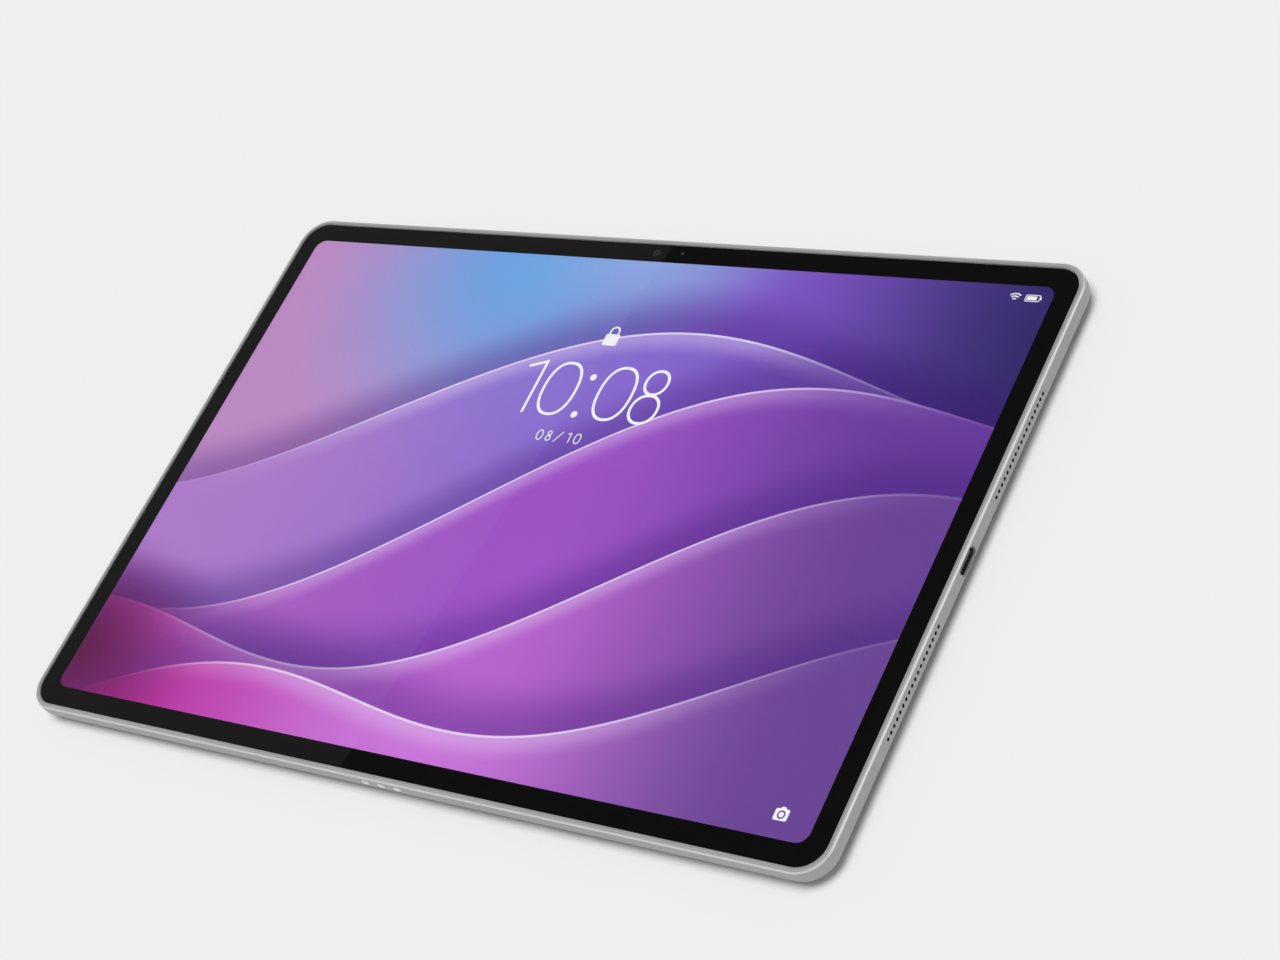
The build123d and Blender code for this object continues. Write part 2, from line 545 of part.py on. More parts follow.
# Card reader: a sheet sleeve round the tongue, and the lever and rod that push the tray out.
reader_x = (TRAY_X - CARD_TONGUE / 2 - 0.5, TRAY_X + CARD_TONGUE / 2 + 0.5)
reader_y = (tongue_low_y - 1.6, INNER_Y - 1.2)
reader_z = (CARD_TONGUE_Z - 0.3, tongue_top + 0.3)
hollow_x = (reader_x[0] + 0.2, reader_x[1] - 0.2)
hollow_y = (reader_y[0] + 0.2, reader_y[1] + 1)
hollow_z = (reader_z[0] + 0.15, reader_z[1] - 0.15)
card_reader = block(reader_x, reader_y, reader_z) - block(hollow_x, hollow_y, hollow_z)
rod_x = (reader_x[1] + 0.5, reader_x[1] + 1.3)
rod_z = (BOARD_TOP + 1.0, BOARD_TOP + 1.7)
push_y = (INNER_Y - 0.8, INNER_Y - 0.2)
push_z = (tongue_top + 0.2, CARD_FACE_Z + 0.9)
eject_rod = block(rod_x, (reader_y[0] - 1.2, push_y[1]), rod_z)
eject_rod += block(rod_x, push_y, (rod_z[0], push_z[1]))
eject_rod += block((pin_x - 0.5, rod_x[1]), push_y, push_z)
eject_rod += block((TRAY_X - 2, rod_x[1]), (reader_y[0] - 1.2, reader_y[0] - 0.2), rod_z)

# Accessory contacts in the bottom edge, in insulating collars on one carrier.
dock_carrier = block(
    (-12, 12), (-INNER_Y + 0.05, -INNER_Y + 2.0), (PORT_Z - 1.4, PORT_Z + 1.4)
)
contact_solids = []
collar = (DOCK_WIDTH + 2 * DOCK_COLLAR, DOCK_HEIGHT + 2 * DOCK_COLLAR)
for x in dock_places:
    dock_carrier += edge_pill(*collar, x, (-EDGE_Y + 0.06, -INNER_Y + 0.5), PORT_Z)
for x in dock_places:
    dock_carrier -= edge_pill(
        DOCK_WIDTH + 0.02, DOCK_HEIGHT + 0.02, x, (-EDGE_Y - 1, -INNER_Y + 3), PORT_Z
    )
    contact = edge_pill(DOCK_WIDTH, DOCK_HEIGHT, x, (-EDGE_Y - 0.05, -INNER_Y + 2.4), PORT_Z)
    contact_solids.append(fillet(contact.edges().group_by(Axis.Y)[0], 0.15))
dock_contacts = group(contact_solids)
magnet_solids = []
for side in (-1, 1):
    for step in range(4):
        x = side * (24 + 14 * step)
        magnet_z = (FLOOR_Z + 0.2, TRAY_Z - 0.4)
        magnet_solids.append(slab(10, 3.4, *magnet_z, (x, -88.6), radius=0.4))
dock_magnets = group(magnet_solids)

# Microphone behind its hole, sealed to the wall by a rubber boot.
mic_boot = block((-INNER_X + 0.02, -INNER_X + 1.5), (MIC_Y - 2, MIC_Y + 2), (PORT_Z - 1, PORT_Z + 1))
mic_boot -= side_rod(MIC_R, (-INNER_X - 1, -INNER_X + 2), MIC_Y, PORT_Z)
microphone = block(
    (-INNER_X + 1.5, -INNER_X + 2.6), (MIC_Y - 1.9, MIC_Y + 1.9), (PORT_Z - 0.9, PORT_Z + 0.9)
)

# Two aerials under the upper border, each a printed strip on a plastic carrier.
aerial_solids = []
for side in (-1, 1):
    carrier_x = sorted((side * 58, side * 94))
    carrier_z = (FLOOR_Z + 2.6, LEDGE_Z - 0.5)
    carrier = block(carrier_x, camera_cell_y, carrier_z)
    strip_x = sorted((side * 60, side * 92))
    strip_y = (camera_cell_y[0] + 0.4, camera_cell_y[1] - 0.4)
    aerial_solids.append(carrier + block(strip_x, strip_y, (LEDGE_Z - 0.5, LEDGE_Z - 0.38)))
aerials = group(aerial_solids)

parts = {
    "back_housing": back_housing,
    "cover_glass": cover_glass,
    "border_ink": border_ink,
    "bonding_film": bonding_film,
    "rim_gasket": rim_gasket,
    "display_tape": display_tape,
    "lcd_panel": lcd_panel,
    "light_guide": light_guide,
    "backlight_tray": backlight_tray,
    "display_flex": display_flex,
    "mid_plate": mid_plate,
    "screws": screws,
    "battery_left": battery_left,
    "battery_right": battery_right,
    "battery_strips": battery_strips,
    "battery_board": battery_board,
    "main_board": main_board,
    "processor": processor,
    "memory_chips": memory_chips,
    "support_chips": support_chips,
    "shield_can_main": shield_can_main,
    "shield_can_radio": shield_can_radio,
    "heat_spreader": heat_spreader,
    "usb_shell": usb_shell,
    "usb_tongue": usb_tongue,
    "usb_board": usb_board,
    "link_flex": link_flex,
    "speaker_upper_left": speaker_upper_left,
    "speaker_lower_left": speaker_lower_left,
    "speaker_upper_right": speaker_upper_right,
    "speaker_lower_right": speaker_lower_right,
    "speaker_diaphragms": speaker_diaphragms,
    "speaker_meshes": speaker_meshes,
    "sensor_board": sensor_board,
    "front_camera": front_camera,
    "front_lens": front_lens,
    "light_sensor": light_sensor,
    "camera_plate": camera_plate,
    "camera_ring": camera_ring,
    "camera_glass": camera_glass,
    "lens_hood": lens_hood,
    "camera_module": camera_module,
    "lens_barrel": lens_barrel,
    "camera_lens": camera_lens,
    "camera_flex": camera_flex,
    "flash_lens": flash_lens,
    "flash_led": flash_led,
    "power_button": power_button,
    "power_switch": power_switch,
    "volume_key": volume_key,
    "volume_switch": volume_switch,
    "card_tray": card_tray,
    "card_reader": card_reader,
    "eject_rod": eject_rod,
    "dock_carrier": dock_carrier,
    "dock_contacts": dock_contacts,
    "dock_magnets": dock_magnets,
    "mic_boot": mic_boot,
    "microphone": microphone,
    "aerials": aerials,
}

for node, shape in parts.items():
    export_step(shape, f"parts/{node}.step")
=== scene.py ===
import math

import bpy
from mathutils import Matrix, Vector


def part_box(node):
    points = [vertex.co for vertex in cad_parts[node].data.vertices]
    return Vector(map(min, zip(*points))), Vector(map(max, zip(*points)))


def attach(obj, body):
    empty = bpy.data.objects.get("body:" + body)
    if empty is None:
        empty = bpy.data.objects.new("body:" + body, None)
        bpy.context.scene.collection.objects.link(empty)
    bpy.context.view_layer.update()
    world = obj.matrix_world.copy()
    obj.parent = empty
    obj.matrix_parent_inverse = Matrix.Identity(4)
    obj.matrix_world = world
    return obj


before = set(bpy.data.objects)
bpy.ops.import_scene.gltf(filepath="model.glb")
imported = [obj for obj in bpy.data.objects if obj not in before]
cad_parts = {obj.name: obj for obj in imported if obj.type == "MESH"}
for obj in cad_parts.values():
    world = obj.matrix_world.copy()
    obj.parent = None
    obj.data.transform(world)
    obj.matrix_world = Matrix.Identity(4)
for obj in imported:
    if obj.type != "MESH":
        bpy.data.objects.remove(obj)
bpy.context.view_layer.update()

MM = 0.001


# ---------------------------------------------------------------- shader sums
class Shade:
    """A material's node tree, with its arithmetic written as short calls. Lengths are in millimetres."""

    def __init__(self, name):
        self.material = bpy.data.materials.new(name)
        self.material.use_nodes = True
        self.tree = self.material.node_tree
        self.tree.nodes.clear()
        self.out = self.tree.nodes.new("ShaderNodeOutputMaterial")
        self.shader = None
        self.place = None

    def node(self, kind, **settings):
        made = self.tree.nodes.new(kind)
        for key, value in settings.items():
            setattr(made, key, value)
        return made

    def put(self, socket, value):
        if isinstance(value, bpy.types.NodeSocket):
            self.tree.links.new(value, socket)
        elif socket.type == "RGBA":
            socket.default_value = (*value[:3], 1.0)
        else:
            socket.default_value = value

    def sum(self, kind, *values):
        made = self.node("ShaderNodeMath", operation=kind)
        for socket, value in zip(made.inputs, values):
            self.put(socket, value)
        return made.outputs[0]

    def vector(self, kind, *values):
        made = self.node("ShaderNodeVectorMath", operation=kind)
        for socket, value in zip(made.inputs, values):
            self.put(socket, value)
        return made.outputs["Value" if kind == "DISTANCE" else "Vector"]

    def point(self):
        """The surface point in millimetres, in the row frame."""
        if self.place is None:
            coords = self.node("ShaderNodeTexCoord")
            self.place = self.vector("MULTIPLY", coords.outputs["Object"], (1000, 1000, 1000))
        return self.place

    def fade(self, value, low, high):
        """0 at low and 1 at high, with a smooth step between. low may be the larger."""
        made = self.node("ShaderNodeMapRange", interpolation_type="SMOOTHSTEP")
        self.put(made.inputs["Value"], value)
        if low <= high:
            made.inputs["From Min"].default_value, made.inputs["From Max"].default_value = low, high
            return made.outputs[0]
        made.inputs["From Min"].default_value, made.inputs["From Max"].default_value = high, low
        made.inputs["To Min"].default_value, made.inputs["To Max"].default_value = 1, 0
        return made.outputs[0]

    def scaled(self, value, low, high):
        """A 0 to 1 value spread over low to high."""
        made = self.node("ShaderNodeMapRange")
        self.put(made.inputs["Value"], value)
        made.inputs["To Min"].default_value, made.inputs["To Max"].default_value = low, high
        return made.outputs[0]

    def mix(self, amount, first, second):
        made = self.node("ShaderNodeMix", data_type="RGBA")
        self.put(made.inputs["Factor"], amount)
        self.put(made.inputs[6], first)
        self.put(made.inputs[7], second)
        return made.outputs[2]

    def noise(self, size, detail=2.0, rough=0.5, stretch=None):
        """Noise with features about size millimetres across."""
        made = self.node("ShaderNodeTexNoise")
        where = self.point()
        if stretch:
            where = self.vector("MULTIPLY", where, stretch)
        self.put(made.inputs["Vector"], where)
        made.inputs["Scale"].default_value = 1.0 / size
        made.inputs["Detail"].default_value = detail
        made.inputs["Roughness"].default_value = rough
        return made.outputs["Fac"]

    def cells(self, size):
        """Distance from the middle of the nearest of many cells about size millimetres across."""
        made = self.node("ShaderNodeTexVoronoi")
        self.put(made.inputs["Vector"], self.point())
        made.inputs["Scale"].default_value = 1.0 / size
        return made.outputs["Distance"]

    def bump(self, height, depth_mm):
        """A bump whose full height is depth_mm."""
        made = self.node("ShaderNodeBump")
        self.put(made.inputs["Height"], height)
        made.inputs["Strength"].default_value = 1.0
        made.inputs["Distance"].default_value = depth_mm * MM
        return made.outputs["Normal"]

    def principled(self, **values):
        self.shader = self.node("ShaderNodeBsdfPrincipled")
        for key, value in values.items():
            self.put(self.shader.inputs[key.replace("_", " ")], value)
        self.tree.links.new(self.shader.outputs[0], self.out.inputs["Surface"])
        return self.shader

    def lets_light_by(self):
        """Shadow rays go straight through, so lamps reach what lies under the glass."""
        path = self.node("ShaderNodeLightPath")
        clear = self.node("ShaderNodeBsdfTransparent")
        both = self.node("ShaderNodeMixShader")
        self.tree.links.new(path.outputs["Is Shadow Ray"], both.inputs[0])
        self.tree.links.new(self.shader.outputs[0], both.inputs[1])
        self.tree.links.new(clear.outputs[0], both.inputs[2])
        self.tree.links.new(both.outputs[0], self.out.inputs["Surface"])


def srgb(red, green, blue):
    """A linear colour from 0-255 screen values."""
    def one(value):
        value /= 255
        return value / 12.92 if value <= 0.04045 else ((value + 0.055) / 1.055) ** 2.4
    return (one(red), one(green), one(blue))


def tones(s, colour, share, size):
    """A colour that wanders lighter and darker by share over patches about size millimetres across."""
    dark = tuple(c * (1 - share) for c in colour)
    light = tuple(min(1.0, c * (1 + share)) for c in colour)
    return s.mix(s.fade(s.noise(size, 3.0), 0.3, 0.7), dark, light)


# ---------------------------------------------------------------- materials
# Where the case's painted shade, painted light and cut chamfer change, in millimetres in the row frame: each pair is
# where a fade starts and ends.
END_WALL_INSIDE = (145.2, 145.05)
END_WALL_STRAIGHT = (84, 82)
SIDE_WALL_INSIDE = (93.85, 93.7)
SIDE_WALL_STRAIGHT = (134, 132)
BORE_FLOOR = (4.3, 4.5)
BORE_ROOF = (7.6, 7.5)
FLAT_BACK = (2.6, 1.85)
CHAMFER_START = (8.18, 8.22)
LAND_START = (8.64, 8.68)
# How bright each region is painted against the walls: painted shade in the bores, painted light on the flat back and
# the land, and on the chamfer a cut finish brightened with a painted highlight.
BORE_PAINTED_SHADE, BACK_PAINTED_LIGHT, CHAMFER_CUT_AND_HIGHLIGHT, LAND_PAINTED_LIGHT = 0.12, 1.75, 1.82, 1.25


def blasted_metal(name, colour, rough, grain=0.12, depth=0.001, case=False):
    """Bead-blasted, anodised aluminium with a fine matt grain. The case also has painted shade in its bores, painted
    light on its flat back and land, and a cut chamfer brightened with a painted highlight.
    """
    s = Shade(name)
    fine = s.noise(grain, 2.0, 0.6)
    broad = s.noise(38.0, 3.0)
    base = tones(s, colour, 0.02, 55.0)
    mottle = s.sum("MULTIPLY_ADD", fine, 0.6, s.sum("MULTIPLY", broad, 0.4))
    roughness = s.scaled(mottle, rough - 0.035, rough + 0.035)
    height = fine
    if case:
        parts = s.node("ShaderNodeSeparateXYZ")
        s.put(parts.inputs[0], s.point())
        up = parts.outputs["Z"]

        def toned(amount, under, tone):
            return s.mix(amount, under, tuple(min(1.0, c * tone) for c in colour))

        # Painted shade: bores and key windows through the walls are darkened inside, where shade falls.
        side, end = s.sum("ABSOLUTE", parts.outputs["Y"]), s.sum("ABSOLUTE", parts.outputs["X"])
        in_end = s.sum("MULTIPLY", s.fade(end, *END_WALL_INSIDE), s.fade(side, *END_WALL_STRAIGHT))
        in_side = s.sum("MULTIPLY", s.fade(side, *SIDE_WALL_INSIDE), s.fade(end, *SIDE_WALL_STRAIGHT))
        bore_height = s.sum("MULTIPLY", s.fade(up, *BORE_FLOOR), s.fade(up, *BORE_ROOF))
        bore_shade = s.sum("MULTIPLY", s.sum("MAXIMUM", in_end, in_side), bore_height)
        base = toned(bore_shade, base, BORE_PAINTED_SHADE)
        # Painted light: the flat back is painted lighter than the walls, as if more light falls on it.
        base = toned(s.fade(up, *FLAT_BACK), base, BACK_PAINTED_LIGHT)
        # The flat land round the glass is blasted like the walls and painted lighter, as painted light. The chamfer
        # beside it is cut smooth and painted brighter, partly as painted highlight.
        chamfer_up = s.fade(up, *CHAMFER_START)
        land = s.fade(up, *LAND_START)
        base = toned(chamfer_up, base, CHAMFER_CUT_AND_HIGHLIGHT)
        base = toned(land, base, LAND_PAINTED_LIGHT)
        cut = s.sum("SUBTRACT", chamfer_up, land)
        tool = s.noise(0.35, 1.0, 0.4, (0.05, 0.05, 1.0))
        uncut = s.sum("SUBTRACT", 1.0, cut)
        roughness = s.sum("ADD", s.sum("MULTIPLY", roughness, uncut),
                          s.sum("MULTIPLY", cut, s.scaled(tool, rough * 0.52, rough * 0.72)))
        height = s.sum("MULTIPLY", fine, s.sum("SUBTRACT", 1.0, s.sum("MULTIPLY", cut, 0.85)))
    s.principled(Base_Color=base, Metallic=1.0, Roughness=roughness, Normal=s.bump(height, depth))
    return s.material


def turned_metal(name, colour, rough, centre, pitch=0.09):
    """Metal turned on a lathe: fine rings round centre, in millimetres."""
    s = Shade(name)
    away = s.vector("DISTANCE", s.vector("MULTIPLY", s.point(), (1, 1, 0)), centre)
    rings = s.sum("MULTIPLY_ADD", s.sum("SINE", s.sum("MULTIPLY", away, 2 * math.pi / pitch)), 0.5, 0.5)
    fine = s.noise(0.12, 2.0)
    s.principled(Base_Color=tones(s, colour, 0.03, 4.0), Metallic=1.0,
                 Roughness=s.scaled(fine, rough - 0.03, rough + 0.05),
                 Normal=s.bump(s.sum("ADD", rings, fine), 0.0006))
    return s.material


def rolled_metal(name, colour, rough, lengthwise=(1.0, 0.04, 1.0)):
    """Rolled sheet or plated metal, with a faint drawn grain."""
    s = Shade(name)
    drawn = s.noise(0.25, 2.0, 0.5, lengthwise)
    s.principled(Base_Color=tones(s, colour, 0.05, 9.0), Metallic=1.0,
                 Roughness=s.scaled(drawn, rough - 0.06, rough + 0.08), Normal=s.bump(drawn, 0.002))
    return s.material


def moulded(name, colour, rough, grain=0.35, depth=0.004, share=0.06, gloss=0.5):
    """Moulded plastic, film or rubber with a spark-eroded grain."""
    s = Shade(name)
    fine = s.noise(grain, 3.0, 0.6)
    s.principled(Specular_IOR_Level=gloss, Base_Color=tones(s, colour, share, 6.0),
                 Roughness=s.scaled(fine, rough - 0.07, rough + 0.07), Normal=s.bump(fine, depth))
    return s.material


def woven(name, colour, pitch):
    """A fine acoustic mesh, woven over and under."""
    s = Shade(name)
    parts = s.node("ShaderNodeSeparateXYZ")
    s.put(parts.inputs[0], s.point())
    across = s.sum("SINE", s.sum("MULTIPLY", parts.outputs["Y"], 2 * math.pi / pitch))
    along = s.sum("SINE", s.sum("MULTIPLY", parts.outputs["Z"], 2 * math.pi / pitch))
    threads = s.sum("MAXIMUM", across, along)
    dark = tuple(c * 0.35 for c in colour)
    s.principled(Base_Color=s.mix(s.fade(threads, -0.2, 0.8), dark, colour), Roughness=0.7,
                 Normal=s.bump(threads, 0.02))
    return s.material


def laminate(name):
    """A circuit board: green-black solder mask over faint copper tracks."""
    s = Shade(name)
    tracks = s.node("ShaderNodeTexBrick")
    s.put(tracks.inputs["Vector"], s.point())
    tracks.inputs["Scale"].default_value = 0.45
    tracks.inputs["Mortar Size"].default_value = 0.05
    tracks.inputs["Color1"].default_value = (0.004, 0.030, 0.016, 1)
    tracks.inputs["Color2"].default_value = (0.005, 0.036, 0.020, 1)
    tracks.inputs["Mortar"].default_value = (0.020, 0.085, 0.035, 1)
    fine = s.noise(0.8, 2.0)
    s.principled(Base_Color=tracks.outputs["Color"], Roughness=s.scaled(fine, 0.32, 0.48),
                 Normal=s.bump(tracks.outputs["Fac"], 0.02))
    return s.material


def pouch_foil(name):
    """Battery laminate: pale foil with a soft, slightly crumpled skin."""
    s = Shade(name)
    creases = s.cells(7.0)
    fine = s.noise(1.6, 4.0)
    s.principled(Base_Color=tones(s, (0.10, 0.10, 0.105), 0.12, 14.0), Metallic=0.6,
                 Roughness=s.scaled(fine, 0.34, 0.5), Normal=s.bump(s.sum("ADD", creases, fine), 0.05))
    return s.material


def clear_glass(name, tint, ior=1.45):
    """Optical glass. Its faint coating shows as a tint in the reflection."""
    s = Shade(name)
    smear = s.noise(30.0, 2.0)
    s.principled(Base_Color=s.mix(smear, tint, tuple(min(1.0, c * 1.01) for c in tint)),
                 Roughness=0.0, IOR=ior, Transmission_Weight=1.0)
    s.lets_light_by()
    return s.material


def film(name, tint):
    """Clear adhesive film, optically the same as the glass it bonds."""
    s = Shade(name)
    clear = s.node("ShaderNodeBsdfTransparent")
    s.put(clear.inputs["Color"], s.mix(s.noise(20.0), tint, (1, 1, 1)))
    s.tree.links.new(clear.outputs[0], s.out.inputs["Surface"])
    return s.material


# The screen picture's sheets, first the one that lies behind the others. Each has a wave (level, slope, height,
# length and shift, in millimetres), three colours (left, right and middle, 0-255), and how much it covers.
SHEETS = (
    ((34, 0.16, 24, 330, -70), (172, 118, 208), (98, 64, 164), (138, 106, 214), 0.80),
    ((2, 0.30, 24, 300, -20), (180, 96, 196), (104, 58, 158), (164, 82, 202), 0.90),
    ((-34, 0.26, 20, 270, 40), (192, 78, 186), (108, 68, 152), (192, 102, 214), 0.92),
    ((-66, 0.20, 14, 240, 96), (190, 40, 158), (108, 70, 152), (210, 120, 226), 0.92),
)
STEP_SHADE, GLEAM_STRENGTH, LINE_FAINT, LINE_FULL, CLOUD = 0.34, 0.42, 0.12, 0.8, 0.02
SCREEN_GAMMA = 2.2
UNLIT_SCREEN = (0.003, 0.003, 0.004)


def screen_picture(name):
    """The lit screen: layered waves in blues, violets and wine over a soft ground."""
    s = Shade(name)
    parts = s.node("ShaderNodeSeparateXYZ")
    s.put(parts.inputs[0], s.point())
    x, y = parts.outputs["X"], parts.outputs["Y"]
    flat = s.vector("MULTIPLY", s.point(), (1, 1, 0))

    def tint(*colour):
        """A screen colour of 0-255 values, mixed as such and made linear only at the end."""
        return tuple(value / 255 for value in colour)

    def patch(ground, colour, cx, cy, rx, ry, strength=1.0):
        """A soft oval patch of colour."""
        place = s.vector("MULTIPLY", flat, (1 / rx, 1 / ry, 0))
        spot = s.fade(s.vector("DISTANCE", place, (cx / rx, cy / ry, 0)), 1.0, 0.0)
        return s.mix(s.sum("MULTIPLY", spot, strength), ground, tint(*colour))

    def above(level, slope, height, length, shift):
        """How far a point lies above a long wave, in millimetres."""
        swing = s.sum("SINE", s.sum("MULTIPLY", s.sum("SUBTRACT", x, shift), 2 * math.pi / length))
        return s.sum("SUBTRACT", y, s.sum("MULTIPLY_ADD", swing, height, s.sum("MULTIPLY_ADD", x, slope, level)))

    # The ground: lilac at the left, blue above the middle, violet at the right.
    picture = s.mix(s.fade(x, -80, 60), tint(194, 138, 200), tint(126, 86, 200))
    picture = patch(picture, (108, 166, 236), -44, 82, 96, 92, 1.0)
    picture = patch(picture, (146, 176, 236), 4, 92, 60, 40, 0.8)
    picture = s.mix(s.fade(x, 46, 146), picture, tint(52, 40, 106))

    # Sheets that overlap, each with a shaded step above its edge and a bright line along it.
    for wave, left, right, middle, cover in SHEETS:
        height = above(*wave)
        step = s.sum("MULTIPLY", s.fade(height, 20, 0), s.fade(height, -1, 0))
        picture = s.mix(s.sum("MULTIPLY", step, STEP_SHADE), picture, tint(58, 22, 116))
        colour = s.mix(s.fade(x, -120, 0), tint(*left), tint(*middle))
        colour = s.mix(s.fade(x, 10, 124), colour, tint(*right))
        picture = s.mix(s.sum("MULTIPLY", s.fade(height, 0.25, -0.25), cover), picture, colour)
        gleam = s.sum("MULTIPLY", s.fade(height, 0.1, -0.3), s.fade(height, -9.0, -0.4))
        reach = s.sum("MULTIPLY", s.fade(x, -138, -40), s.fade(x, 140, 40))
        glow = s.sum("MULTIPLY", s.sum("MULTIPLY", gleam, reach), GLEAM_STRENGTH)
        picture = s.mix(glow, picture, tint(236, 214, 252))
        line = s.sum("MULTIPLY", s.fade(height, 0.2, -0.1), s.fade(height, -0.9, -0.5))
        bright = s.sum("MULTIPLY", line, s.scaled(reach, LINE_FAINT, LINE_FULL))
        picture = s.mix(bright, picture, tint(246, 232, 255))
    picture = patch(picture, (92, 2, 74), -142, -72, 64, 44, 1.0)

    # The panel's own faint unevenness.
    cloud = s.mix(CLOUD, picture, s.mix(s.noise(60.0), (0, 0, 0), (1, 1, 1)))
    light = s.node("ShaderNodeGamma")
    s.put(light.inputs["Color"], cloud)
    light.inputs["Gamma"].default_value = SCREEN_GAMMA
    s.principled(Base_Color=UNLIT_SCREEN, Roughness=0.35, Specular_IOR_Level=0.0,
                 Emission_Color=light.outputs[0], Emission_Strength=1.0)
    return s.material


def lit_white(name):
    """White screen marks, a little uneven as backlit pixels are."""
    s = Shade(name)
    colour = s.mix(s.noise(3.0), srgb(244, 240, 252), srgb(255, 255, 255))
    s.principled(Base_Color=UNLIT_SCREEN, Roughness=0.35, Specular_IOR_Level=0.0,
                 Emission_Color=colour, Emission_Strength=1.0)
    return s.material


def phosphor(name):
    """The flash's pale yellow, grainy coating."""
    s = Shade(name)
    grain = s.cells(0.4)
    s.principled(Base_Color=s.mix(grain, (0.74, 0.72, 0.58), (0.84, 0.82, 0.70)), Roughness=0.45,
                 Normal=s.bump(grain, 0.01))
    return s.material


RING_CENTRE = (-124.5, 71.0, 0)
SILVER = (0.388, 0.388, 0.388)
made = {
    "case_metal": blasted_metal("case_metal", SILVER, 0.46, case=True),
    "ring_metal": turned_metal("ring_metal", (0.74, 0.745, 0.75), 0.2, RING_CENTRE),
    "key_metal": blasted_metal("key_metal", (0.505, 0.505, 0.505), 0.36, grain=0.14),
    "cover_glass": clear_glass("cover_glass", (0.97, 0.985, 0.98)),
    "lens_glass": clear_glass("lens_glass", (0.93, 0.95, 0.97), 1.5),
    "flash_clear": clear_glass("flash_clear", (0.97, 0.97, 0.95), 1.42),
    "black_ink": moulded("black_ink", (0.0036, 0.0036, 0.0039), 0.5, 0.2, 0.001, 0.1, gloss=0.0),
    "clear_film": film("clear_film", (0.985, 0.99, 0.985)),
    "gasket_plastic": moulded("gasket_plastic", (0.34, 0.34, 0.345), 0.5, 0.18, 0.002, gloss=0.3),
    "black_tape": moulded("black_tape", (0.008, 0.008, 0.009), 0.6, 0.5, 0.01),
    "screen": screen_picture("screen"),
    "guide_acrylic": moulded("guide_acrylic", (0.75, 0.78, 0.8), 0.15, 0.6, 0.002, 0.02),
    "tray_metal": rolled_metal("tray_metal", (0.62, 0.62, 0.63), 0.35),
    "plate_metal": rolled_metal("plate_metal", (0.52, 0.52, 0.53), 0.38),
    "screw_steel": rolled_metal("screw_steel", (0.45, 0.45, 0.46), 0.3),
    "battery_pouch": pouch_foil("battery_pouch"),
    "pull_tape": moulded("pull_tape", (0.75, 0.75, 0.72), 0.45, 0.8, 0.01),
    "board_laminate": laminate("board_laminate"),
    "chip_epoxy": moulded("chip_epoxy", (0.018, 0.018, 0.02), 0.55, 0.12, 0.006),
    "can_steel": rolled_metal("can_steel", (0.56, 0.55, 0.53), 0.34),
    "usb_steel": rolled_metal("usb_steel", (0.5, 0.5, 0.5), 0.28, (0.04, 1.0, 1.0)),
    "switch_steel": rolled_metal("switch_steel", (0.5, 0.5, 0.51), 0.32),
    "graphite": moulded("graphite", (0.03, 0.03, 0.033), 0.4, 0.3, 0.006),
    "flex_film": moulded("flex_film", (0.32, 0.14, 0.03), 0.35, 0.6, 0.003),
    "black_plastic": moulded("black_plastic", (0.015, 0.015, 0.016), 0.5),
    "diaphragm_film": moulded("diaphragm_film", (0.05, 0.05, 0.055), 0.3, 0.9, 0.01),
    "mesh_cloth": woven("mesh_cloth", (0.02, 0.02, 0.021), 0.22),
    "led_phosphor": phosphor("led_phosphor"),
    "insulator": moulded("insulator", (0.52, 0.52, 0.525), 0.4, 0.2, 0.002, 0.03),
    "contact_metal": rolled_metal("contact_metal", (0.70, 0.695, 0.685), 0.34, (0.2, 1.0, 1.0)),
    "magnet_nickel": rolled_metal("magnet_nickel", (0.6, 0.58, 0.54), 0.2),
    "boot_rubber": moulded("boot_rubber", (0.02, 0.02, 0.02), 0.75, 0.4, 0.012),
    "aerial_plastic": moulded("aerial_plastic", (0.05, 0.05, 0.055), 0.5),
}
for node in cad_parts.values():
    for index, material in enumerate(node.data.materials):
        node.data.materials[index] = made[material.name]
for node, material in (
    ("front_lens", moulded("dark_lens", (0.004, 0.004, 0.006), 0.12, 0.5, 0.0005, gloss=0.2)),
    ("camera_plate", blasted_metal("plate_satin", (0.735, 0.735, 0.735), 0.3, grain=0.2, depth=0.0005)),
    ("usb_tongue", moulded("tongue_plastic", (0.10, 0.10, 0.102), 0.4)),
):
    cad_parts[node].data.materials[0] = material


# ---------------------------------------------------------------- screen marks
SCREEN_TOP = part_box("lcd_panel")[1][2]
MARK_GAP = 0.03
MARK_Z = SCREEN_TOP + MARK_GAP * MM


class Marks:
    """Flat shapes drawn in millimetres, gathered into one thin mesh just above the panel."""

    def __init__(self):
        self.points, self.faces = [], []

    def add(self, loop):
        start = len(self.points)
        self.points += loop
        return start

    def fill(self, loop):
        start = self.add(loop)
        self.faces.append(list(range(start, start + len(loop))))

    def strip(self, outer, inner, closed=True):
        """The band between two lines with the same number of points."""
        a, b, n = self.add(outer), self.add(inner), len(outer)
        for k in range(n if closed else n - 1):
            m = (k + 1) % n
            self.faces.append([a + k, a + m, b + m, b + k])

    def stroke(self, start, end, width):
        """A straight stroke with round ends."""
        (x0, y0), (x1, y1) = start, end
        turn = math.atan2(y1 - y0, x1 - x0)
        loop = []
        for cx, cy, first in ((x1, y1, turn - math.pi / 2), (x0, y0, turn + math.pi / 2)):
            for k in range(9):
                a = first + math.pi * k / 8
                loop.append((cx + width / 2 * math.cos(a), cy + width / 2 * math.sin(a)))
        self.fill(loop)

    def piece(self, name, material):
        mesh = bpy.data.meshes.new(name)
        verts = [(x * MM, y * MM, MARK_Z) for x, y in self.points]
        mesh.from_pydata(verts, [], self.faces)
        mesh.materials.append(material)
        made_piece = bpy.data.objects.new(name, mesh)
        bpy.context.scene.collection.objects.link(made_piece)
        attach(made_piece, "tablet")
        return made_piece


